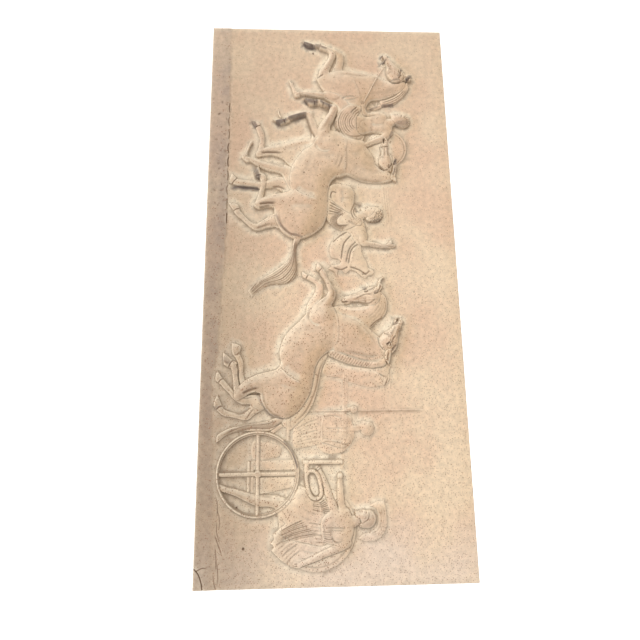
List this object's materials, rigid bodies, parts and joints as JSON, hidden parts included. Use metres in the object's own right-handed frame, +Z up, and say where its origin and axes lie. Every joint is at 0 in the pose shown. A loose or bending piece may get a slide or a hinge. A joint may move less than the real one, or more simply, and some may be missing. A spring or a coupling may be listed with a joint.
{
  "type": "plaster relief frieze",
  "caption": "Rectangular plaster wall relief: galloping horsemen and a horse-drawn chariot in low relief over a rough ground line, flat back.",
  "frame": {"origin": "middle of the flat back, where the panel meets the wall", "axes": "+Y out of the back into the wall, so the relief faces -Y; +X along the panel towards its right end; +Z up"},
  "size_m": [1.2, 0.0508, 0.536],
  "materials": {
    "warm_plaster": "dull cast plaster, warm ivory with a pinkish bloom on the high parts"
  },
  "bodies": {
    "root": {"relief_panel": "warm_plaster"}
  },
  "joints": []
}
